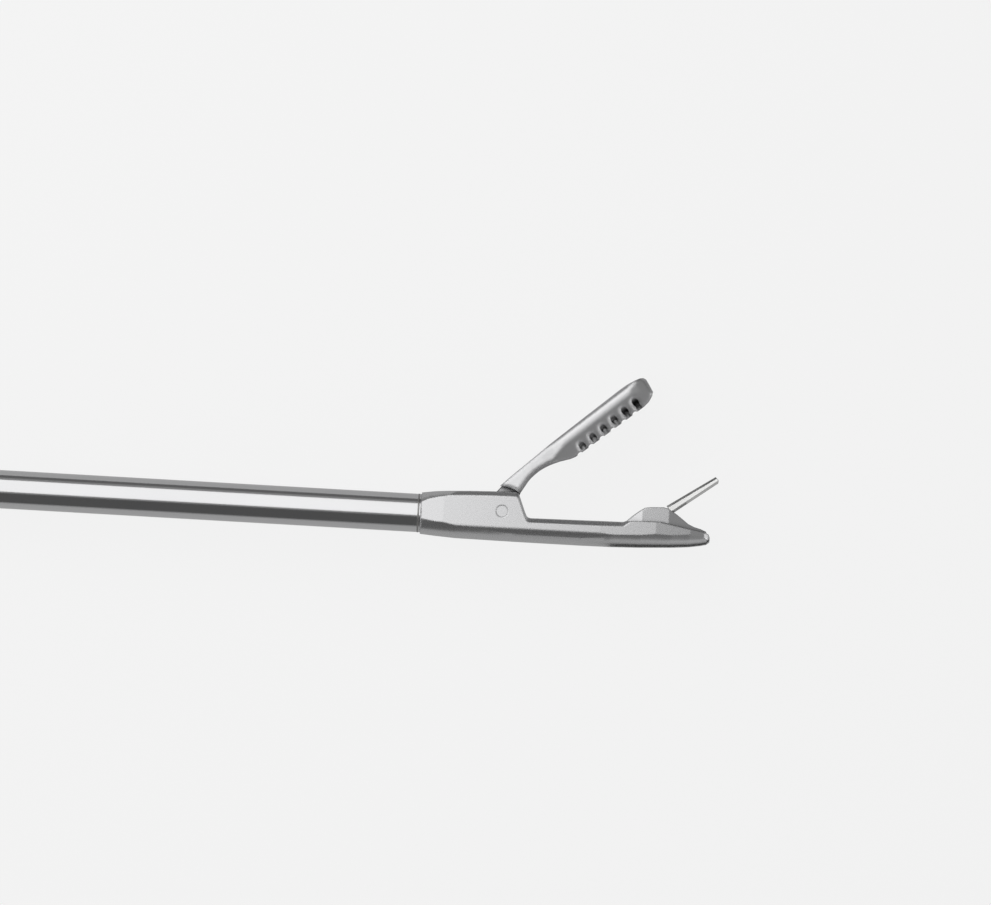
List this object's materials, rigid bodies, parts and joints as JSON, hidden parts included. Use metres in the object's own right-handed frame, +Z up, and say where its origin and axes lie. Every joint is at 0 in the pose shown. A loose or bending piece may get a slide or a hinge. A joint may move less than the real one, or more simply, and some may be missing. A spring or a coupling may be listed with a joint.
{
  "type": "suture passer",
  "caption": "Long thin shaft with a notched hinged upper jaw, a fixed lower jaw with a hump and a sliding needle, and a plain handle with a grip, a finger-ring lever and a thumb slider.",
  "frame": {"origin": "on the plane the instrument lies on, below the shaft's axis and in line with the lever's axis along X", "axes": "+X along the shaft toward the jaws, +Y the way the upper jaw opens, +Z up from the plane the instrument lies on"},
  "size_m": [0.2814, 0.1196, 0.012],
  "materials": {
    "shaft_steel": "polished",
    "jaw_steel": "bead-blasted satin",
    "jaw_polished": "polished",
    "pin_steel": "ground",
    "rod_steel": "drawn",
    "spring_steel": "rolled",
    "needle_alloy": "polished",
    "handle_steel": "satin",
    "handle_trim": "turned",
    "guide_plastic": "matt",
    "pad_plastic": "matt",
    "washer_brass": "plain"
  },
  "bodies": {
    "handle": {"handle_body": "handle_steel", "handle_cover": "handle_steel", "cover_screws": "pin_steel", "nose_collar": "handle_trim", "collar_screw": "pin_steel", "end_plug": "handle_trim", "shaft_tube": "shaft_steel", "rod_guides": "guide_plastic", "lower_jaw": "jaw_steel", "channel_cover": "jaw_steel", "jaw_pivot_pin": "pin_steel", "lever_screw": "pin_steel", "lever_washers": "washer_brass", "spring_screw": "pin_steel", "return_spring": "spring_steel", "needle_bend": "needle_alloy"},
    "lever": {"jaw_lever": "handle_steel"},
    "jaw_drive": {"jaw_rod": "rod_steel", "rod_block": "rod_steel", "cross_pin": "pin_steel"},
    "moving_jaw": {"upper_jaw": "jaw_polished", "jaw_link_pin": "pin_steel"},
    "slider": {"needle_slider": "handle_trim", "thumb_pad": "pad_plastic", "pad_screw": "pin_steel", "clamp_screw": "pin_steel", "needle_rod": "rod_steel", "needle_strip": "needle_alloy"},
    "needle": {"needle_tip": "needle_alloy"}
  },
  "joints": [
    {"name": "lever_squeeze", "type": "hinge", "parent": "handle", "child": "lever", "pos_m": [0, -0.00355, 0.006], "axis": [0, 0, -1], "range_deg": [0, 12.7], "stiffness_Nm_per_rad": 1, "springref_deg": -5.73, "deforming": ["return_spring"]},
    {"name": "rod_slide", "type": "slide", "parent": "handle", "child": "jaw_drive", "axis": [1, 0, 0], "range_m": [0, 0.00101]},
    {"name": "jaw_hinge", "type": "hinge", "parent": "handle", "child": "moving_jaw", "pos_m": [0.20546, 0.00079, 0.006], "axis": [0, 0, -1], "range_deg": [0, 34.5]},
    {"name": "slider_slide", "type": "slide", "parent": "handle", "child": "slider", "axis": [1, 0, 0], "range_m": [-0.0064, 0]},
    {"name": "needle_slide", "type": "slide", "parent": "handle", "child": "needle", "axis": [0.8171, 0.5764, 0], "range_m": [-0.0064, 0], "deforming": ["needle_bend"]}
  ],
  "couplings": [
    {"joint": "rod_slide", "follows": "lever_squeeze", "m_per_rad": 0.0045188},
    {"joint": "jaw_hinge", "follows": "lever_squeeze", "ratio": 2.6987},
    {"joint": "needle_slide", "follows": "slider_slide", "ratio": 1}
  ]
}
